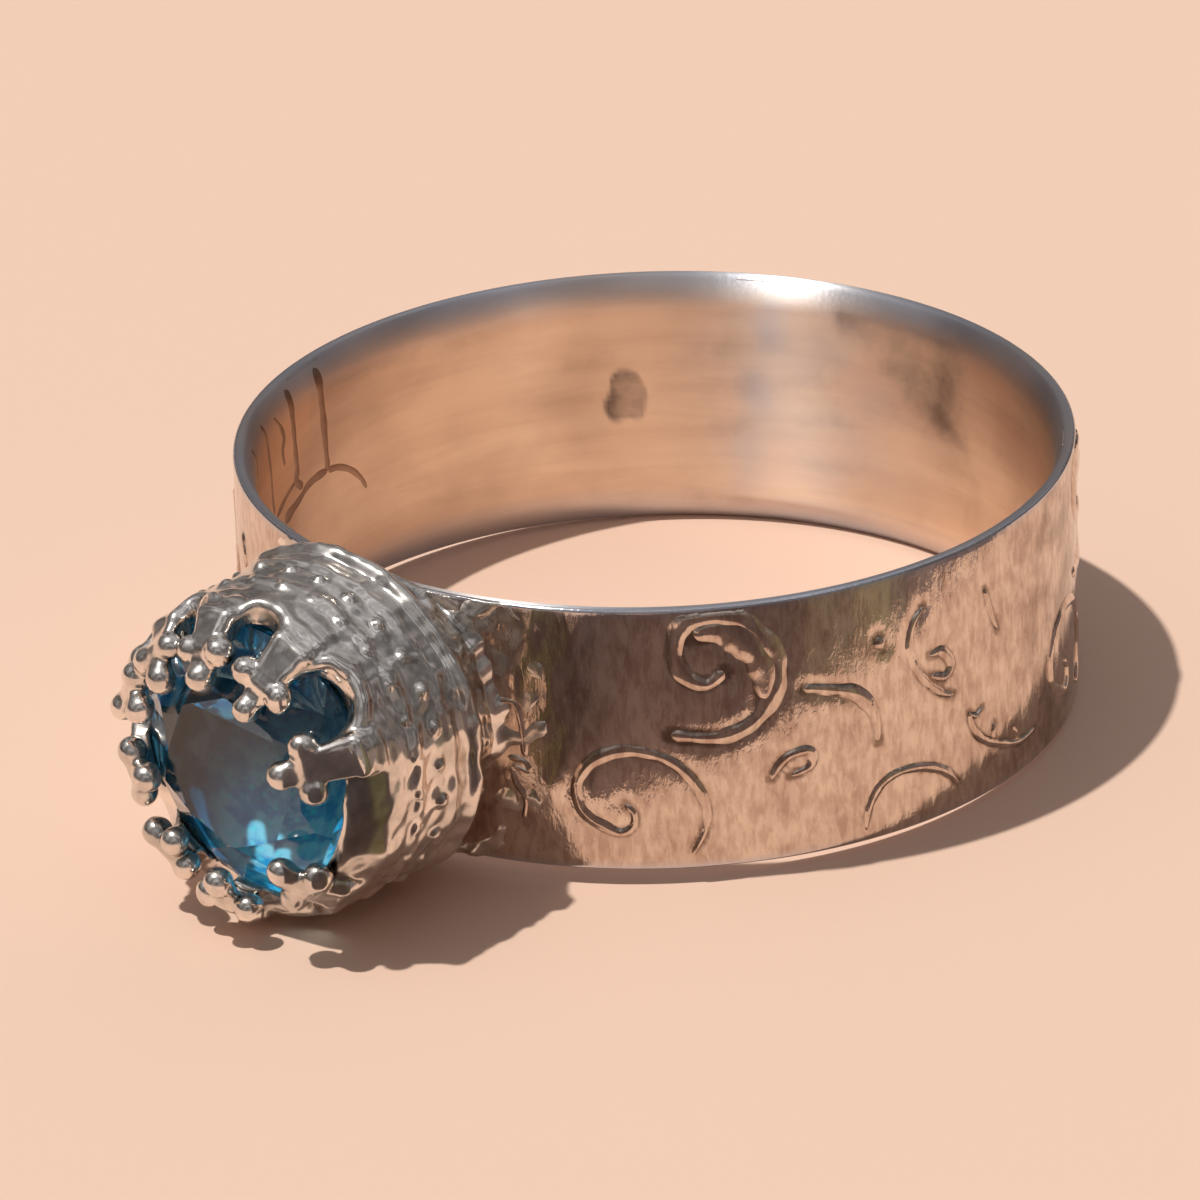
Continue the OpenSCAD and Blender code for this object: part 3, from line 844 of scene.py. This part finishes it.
def silver(name, light, tarnish, dark, strand, strand_depth, cloud, rough, brushed=0.0):
    """Silver that shows wear: strands left by the hand polish, clouds of tarnish, dark in the recesses and
    where shade is painted, and a blue-grey painted sky reflection where the rim attribute says.

    Strand and cloud are the noises' scales, strand_depth is in mm, and rough runs from low to high.
    """
    mat, tree, shader = node_material(name)
    link = tree.links.new
    shader.inputs["Metallic"].default_value = 1.0
    if brushed:
        shader.inputs["Anisotropic"].default_value = brushed
        shader.inputs["Anisotropic Rotation"].default_value = 0.25
        round_z = add(tree, "ShaderNodeTangent", direction_type="RADIAL", axis="Z")
        link(round_z.outputs[0], shader.inputs["Tangent"])
    place = add(tree, "ShaderNodeTexCoord")
    stretch = add(tree, "ShaderNodeMapping")
    stretch.inputs["Scale"].default_value = strand
    link(place.outputs["Object"], stretch.inputs["Vector"])
    strands = add(tree, "ShaderNodeTexNoise", Scale=1.0, Detail=4.0, Roughness=0.6, Distortion=0.3)
    link(stretch.outputs[0], strands.inputs["Vector"])
    clouds = add(tree, "ShaderNodeTexNoise", Scale=cloud, Detail=5.0, Roughness=0.6, Distortion=0.2)
    link(place.outputs["Object"], clouds.inputs["Vector"])
    fine = add(tree, "ShaderNodeTexNoise", Scale=9000.0, Detail=2.0)
    link(place.outputs["Object"], fine.inputs["Vector"])
    link(mapped(tree, clouds.outputs["Fac"], *rough), shader.inputs["Roughness"])
    part = add(tree, "ShaderNodeMath", operation="ADD")
    link(mapped(tree, strands.outputs["Fac"], 0, 0.6, 0.36, 0.66), part.inputs[0])
    link(mapped(tree, clouds.outputs["Fac"], 0, 0.4, 0.36, 0.66), part.inputs[1])
    patina_and_painted_shade = add(tree, "ShaderNodeAttribute", attribute_name="patina_and_painted_shade")
    deep = add(tree, "ShaderNodeMath", operation="MULTIPLY")
    link(patina_and_painted_shade.outputs["Fac"], deep.inputs[0])
    link(mapped(tree, clouds.outputs["Fac"], 0.65, 1.25), deep.inputs[1])
    wear_and_painted_light = blend(tree, part.outputs[0], light, tarnish)
    # Painted sky reflection: blue-grey silver where the rim attribute says
    painted_sky = add(tree, "ShaderNodeAttribute", attribute_name="rim")
    wear_and_painted_light = blend(tree, painted_sky.outputs["Fac"], wear_and_painted_light, PAINTED_SKY_SILVER)
    link(blend(tree, mapped(tree, deep.outputs[0], 0, 1, 0.25, 0.9), wear_and_painted_light, dark), shader.inputs["Base Color"])
    first = add(tree, "ShaderNodeBump", Strength=1.0, Distance=strand_depth * MM)
    link(strands.outputs["Fac"], first.inputs["Height"])
    second = add(tree, "ShaderNodeBump", Strength=1.0, Distance=GRAIN * MM)
    link(fine.outputs["Fac"], second.inputs["Height"])
    link(first.outputs[0], second.inputs["Normal"])
    link(second.outputs[0], shader.inputs["Normal"])
    return mat


def near_spot(tree, x, y, z, reach, low, high):
    """Falls from high at a place in the part's frame, in mm, to low at the reach."""
    place = add(tree, "ShaderNodeTexCoord")
    glow = add(tree, "ShaderNodeTexGradient", gradient_type="SPHERICAL")
    spot = add(tree, "ShaderNodeMapping")
    spot.vector_type = "TEXTURE"
    spot.inputs["Location"].default_value = (x * MM, y * MM, z * MM)
    spot.inputs["Scale"].default_value = [v * MM for v in reach]
    tree.links.new(place.outputs["Object"], spot.inputs["Vector"])
    tree.links.new(spot.outputs[0], glow.inputs["Vector"])
    return mapped(tree, glow.outputs["Fac"], low, high, 0.0, 0.55)


STONE_IOR = 1.68


def topaz_glass(name, open_to_lamps):
    """Clear blue, paler at one side as painted light, round the place where the stone's glow shows. Where
    it's open to lamps, their light passes into the stone.
    """
    mat, tree, shader = node_material(name)
    link = tree.links.new
    shader.inputs["Roughness"].default_value = 0.0
    shader.inputs["IOR"].default_value = STONE_IOR
    shader.inputs["Transmission Weight"].default_value = 1.0
    # Painted light: the crown's tint is paler round the place where the stone's glow shows
    pale = near_spot(tree, 1.75, -14.6, -1.5, (3.9, 3.9, 3.9), 0, 1)
    link(blend(tree, pale, (0.07, 0.125, 0.165), (0.55, 0.9, 1.0)), shader.inputs["Base Color"])
    if open_to_lamps:
        clear = add(tree, "ShaderNodeBsdfTransparent")
        clear.inputs["Color"].default_value = (0.9, 0.97, 1.0, 1)
        path = add(tree, "ShaderNodeLightPath")
        both = add(tree, "ShaderNodeMixShader")
        out = next(n for n in tree.nodes if n.type == "OUTPUT_MATERIAL")
        link(path.outputs["Is Shadow Ray"], both.inputs[0])
        link(shader.outputs[0], both.inputs[1])
        link(clear.outputs[0], both.inputs[2])
        link(both.outputs[0], out.inputs["Surface"])
    return mat


def topaz_back():
    """The pavilion: part of the light that falls into the stone is sent back from its lower side, at one
    place only, chosen to paint where the stone's glow shows, and its colour holds small painted glints.
    """
    mat, tree, shader = node_material("topaz_back")
    link = tree.links.new
    shader.inputs["Roughness"].default_value = 0.02
    shader.inputs["IOR"].default_value = STONE_IOR
    place = add(tree, "ShaderNodeTexCoord")
    cells = add(tree, "ShaderNodeTexVoronoi", Scale=3000.0)
    link(place.outputs["Object"], cells.inputs["Vector"])
    noise = add(tree, "ShaderNodeTexNoise", Scale=1500.0, Detail=3.0)
    link(place.outputs["Object"], noise.inputs["Vector"])
    patches = mapped(tree, noise.outputs["Fac"], 0, 1, 0.4, 0.6)
    tint = blend(tree, patches, (0.04, 0.42, 0.80), (0.30, 0.80, 1.0))
    # Painted glints: small bright points in the pavilion's colour
    points = mapped(tree, cells.outputs["Distance"], 1, 0, 0.05, 0.4)
    link(blend(tree, points, tint, (0.12, 0.86, 1.0)), shader.inputs["Base Color"])
    link(near_spot(tree, 1.8, -13.0, -1.4, (4.7, 4.5, 4.5), 0.97, 0.0), shader.inputs["Transmission Weight"])
    return mat


def floor_material():
    mat, _, shader = node_material("floor")
    shader.inputs["Base Color"].default_value = (0.77, 0.53, 0.41, 1)
    shader.inputs["Roughness"].default_value = 0.85
    return mat


band_silver = silver(
    "silver_band", light=(0.80, 0.68, 0.58), tarnish=(0.50, 0.37, 0.30), dark=(0.24, 0.17, 0.13),
    strand=(5600, 5600, 1900), strand_depth=0.0115, cloud=900, rough=(0.05, 0.13),
)
inner_silver = silver(
    "silver_inside", light=(0.97, 0.765, 0.59), tarnish=(0.82, 0.605, 0.455), dark=(0.10, 0.08, 0.08),
    strand=(150, 150, 1400), strand_depth=0.006, cloud=300, rough=(0.33, 0.4), brushed=0.95,
)
cast_silver = silver(
    "silver_cast", light=(0.95, 0.88, 0.81), tarnish=(0.56, 0.52, 0.48), dark=(0.08, 0.068, 0.06),
    strand=(1600, 1600, 1600), strand_depth=0.009, cloud=700, rough=(0.13, 0.255),
)
seat_silver = silver(
    "silver_seat", light=(0.34, 0.33, 0.32), tarnish=(0.16, 0.15, 0.15), dark=(0.05, 0.05, 0.05),
    strand=(1500, 1500, 1500), strand_depth=0.02, cloud=900, rough=(0.35, 0.55),
)
# The colour of the painted dark reflections inside the band
reflection_silver = silver(
    "silver_painted_reflections", light=(0.36, 0.24, 0.175), tarnish=(0.26, 0.17, 0.125), dark=(0.62, 0.44, 0.33),
    strand=(1500, 1500, 1500), strand_depth=0.004, cloud=900, rough=(0.3, 0.45),
)

band = build_band(band_silver, inner_silver)
curls = ribbons("curls", list(band_strokes()), BAND_RO, False, CURL_RISE, CURL_SINK, band_silver, seed=21)
painted_reflections = build_dark_reflections(reflection_silver)
setting, seat = build_head(cast_silver, seat_silver)
stone = build_stone(
    crown=topaz_glass("topaz", open_to_lamps=True),
    side=topaz_glass("topaz_side", open_to_lamps=False),
    pavilion=topaz_back(),
)

for piece in (band, curls, painted_reflections, setting, seat):
    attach(piece, "root")
    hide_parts("band_and_setting")
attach(stone, "root")
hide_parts("topaz")

# Floor: at the solids' lowest point, half its width in metres
FLOOR_Z = CAD_BOX[0][2]
FLOOR_HALF = 3.0
corners = [(x * FLOOR_HALF, y * FLOOR_HALF, FLOOR_Z) for x, y in ((-1, -1), (1, -1), (1, 1), (-1, 1))]
floor = make_mesh("floor", corners, [(0, 1, 2, 3)], [floor_material()], smooth=False)


# Camera: the photograph's own place and lens, turned so that the ring falls where it does there. Lengths are
# in mm, or in pixels of the photograph, which has a side of PHOTO_SIDE
PHOTO_SIDE = 1200
SENSOR = 36


def place_camera():
    elevation, distance, turn = math.radians(24.671), 190.08, math.radians(310)
    focal_px, roll = 8031.0, -0.0308
    off_right, off_up = 57.6, 41.94
    pos = Vector(
        (
            distance * math.cos(elevation) * math.cos(turn),
            distance * math.cos(elevation) * math.sin(turn),
            distance * math.sin(elevation),
        )
    )
    forward = -pos.normalized()
    right = forward.cross(Vector((0, 0, 1))).normalized()
    up = right.cross(forward)
    right, up = math.cos(roll) * right + math.sin(roll) * up, -math.sin(roll) * right + math.cos(roll) * up
    forward = (forward * focal_px - right * off_right - up * off_up).normalized()
    right = forward.cross(up).normalized()
    up = right.cross(forward)
    tilt = Matrix.Rotation(-REST_TILT, 3, "X")
    pos, right, up, forward = (tilt @ v for v in (pos, right, up, forward))
    data = bpy.data.cameras.new("camera")
    data.sensor_width = SENSOR
    data.lens = focal_px / PHOTO_SIDE * SENSOR
    data.clip_start, data.clip_end = 0.01, 20
    cam = bpy.data.objects.new("camera", data)
    turned = Matrix((right, up, -forward)).transposed().to_4x4()
    cam.matrix_world = Matrix.Translation(pos * MM) @ turned
    bpy.context.scene.collection.objects.link(cam)
    bpy.context.scene.camera = cam


def sun(name, azimuth, height, energy, angle, color):
    """A sun in the direction given in degrees, as wide across as the angle."""
    azimuth, height = math.radians(azimuth), math.radians(height)
    d = Vector((math.cos(azimuth) * math.cos(height), math.sin(azimuth) * math.cos(height), math.sin(height)))
    data = bpy.data.lights.new(name, "SUN")
    data.energy = energy
    data.angle = math.radians(angle)
    data.color = color
    light = bpy.data.objects.new(name, data)
    light.rotation_mode = "QUATERNION"
    light.rotation_quaternion = d.to_track_quat("Z", "Y")
    bpy.context.scene.collection.objects.link(light)


# World: dim near the ground and paler overhead, broken up as between branches. The camera itself sees a plain
# pale studio. The sky's colours by height:
SKY = (
    (0.0, (0.15, 0.13, 0.125)),
    (0.3, (0.16, 0.145, 0.14)),
    (0.6, (0.24, 0.235, 0.24)),
    (1.0, (0.43, 0.43, 0.45)),
)


def place_world():
    world = bpy.data.worlds.new("studio")
    bpy.context.scene.world = world
    world.use_nodes = True
    tree = world.node_tree
    tree.nodes.clear()
    link = tree.links.new
    out = tree.nodes.new("ShaderNodeOutputWorld")
    place = tree.nodes.new("ShaderNodeTexCoord")
    split = tree.nodes.new("ShaderNodeSeparateXYZ")
    ramp = tree.nodes.new("ShaderNodeValToRGB")
    stops = ramp.color_ramp.elements
    stops[0].position, stops[0].color = SKY[0][0], (*SKY[0][1], 1)
    stops[1].position, stops[1].color = SKY[-1][0], (*SKY[-1][1], 1)
    for pos, col in SKY[1:-1]:
        stops.new(pos).color = (*col, 1)
    sky = tree.nodes.new("ShaderNodeBackground")
    pale = add(tree, "ShaderNodeBackground", Color=(0.86, 0.72, 0.62, 1))
    path = tree.nodes.new("ShaderNodeLightPath")
    mix = tree.nodes.new("ShaderNodeMixShader")
    link(place.outputs["Generated"], split.inputs[0])
    link(split.outputs["Z"], ramp.inputs["Fac"])
    leaves = add(tree, "ShaderNodeTexNoise", Scale=3.2, Detail=3.0)
    link(place.outputs["Generated"], leaves.inputs["Vector"])
    gaps = add(tree, "ShaderNodeMapRange", From_Min=0.42, From_Max=0.62, To_Min=0.55, To_Max=1.9)
    link(leaves.outputs["Fac"], gaps.inputs["Value"])
    link(gaps.outputs[0], sky.inputs["Strength"])
    link(ramp.outputs["Color"], sky.inputs["Color"])
    link(path.outputs["Is Camera Ray"], mix.inputs[0])
    link(sky.outputs[0], mix.inputs[1])
    link(pale.outputs[0], mix.inputs[2])
    link(mix.outputs[0], out.inputs[0])


# Card: its line on the floor and its height, in mm, and the number of its columns
CARD_LINE = np.array(
    [
        (2.6, -16.2), (4.6, -14.5), (6.4, -12.9), (8.2, -12.1), (10.2, -11.7), (14.2, -9.9), (17.2, -6.5),
        (19.6, -2.6), (20.7, 1.5), (20.5, 8.1), (18.5, 12.5),
    ]
)
CARD_HEIGHT = 7.0
CARD_COLUMNS = 161
# Green on the card: how far along it in mm, half width, strength
GREENS = ((2.7, 0.45, 1), (19.3, 1.5, 0.3), (23.5, 2.0, 0.45))


def place_card():
    """A dark studio card that stands near the ring and is seen only in its polish."""
    run = np.r_[0, np.cumsum(np.hypot(*np.diff(CARD_LINE, axis=0).T))]
    along = np.linspace(0, run[-1], CARD_COLUMNS)
    line = np.stack([np.interp(along, run, CARD_LINE[:, k]) for k in (0, 1)], 1)
    ragged = np.sin(2.1 * along + 1) + 0.6 * np.sin(5.3 * along) + 0.5 * np.sin(11.7 * along + 2)
    low = FLOOR_Z / MM + 0.06 * np.abs(ragged)
    high = FLOOR_Z / MM + CARD_HEIGHT + unit((12 - along) / 6) * (0.8 * ragged - 1.2)
    pts = [(x * MM, y * MM, z * MM) for (x, y), pair in zip(line, zip(low, high)) for z in pair]
    faces = [(2 * i, 2 * i + 2, 2 * i + 3, 2 * i + 1) for i in range(len(line) - 1)]
    mat, tree, shader = node_material("card")
    place = add(tree, "ShaderNodeTexCoord")
    tall = add(tree, "ShaderNodeMapping")
    tall.inputs["Scale"].default_value = (450, 450, 60)
    tree.links.new(place.outputs["Object"], tall.inputs["Vector"])
    noise = add(tree, "ShaderNodeTexNoise", Scale=1.0, Detail=3.0)
    tree.links.new(tall.outputs[0], noise.inputs["Vector"])
    clouds = mapped(tree, noise.outputs["Fac"], 0, 1, 0.4, 0.65)
    shade = blend(tree, clouds, (0.25, 0.23, 0.26), (0.35, 0.31, 0.32))
    for name, color in (("painted_light", (0.46, 0.42, 0.44)), ("green", (0.60, 0.66, 0.38))):
        much = add(tree, "ShaderNodeAttribute", attribute_name=name)
        shade = blend(tree, much.outputs["Fac"], shade, color)
    tree.links.new(shade, shader.inputs["Base Color"])
    shader.inputs["Roughness"].default_value = 0.9
    card = make_mesh("card", pts, faces, [mat], smooth=False)
    green = sum(np.exp(-(((along - s) / w) ** 2)) * g for s, w, g in GREENS)
    point_values(card, "green", np.repeat(green, 2))
    # Painted light: the card is lighter where the sun falls on it at a graze, as if it were lit evenly
    painted_light = unit((along - 3.8) / 2) * unit((13 - along) / 4)
    point_values(card, "painted_light", np.repeat(0.75 * painted_light, 2))
    card.visible_camera = False
    card.visible_diffuse = False
    card.visible_shadow = False
    card.visible_transmission = False


place_camera()
sun("key", azimuth=226, height=70, energy=2.85, angle=1.5, color=(1.0, 0.99, 0.94))
place_world()
place_card()
bpy.context.scene.view_settings.view_transform = "Standard"
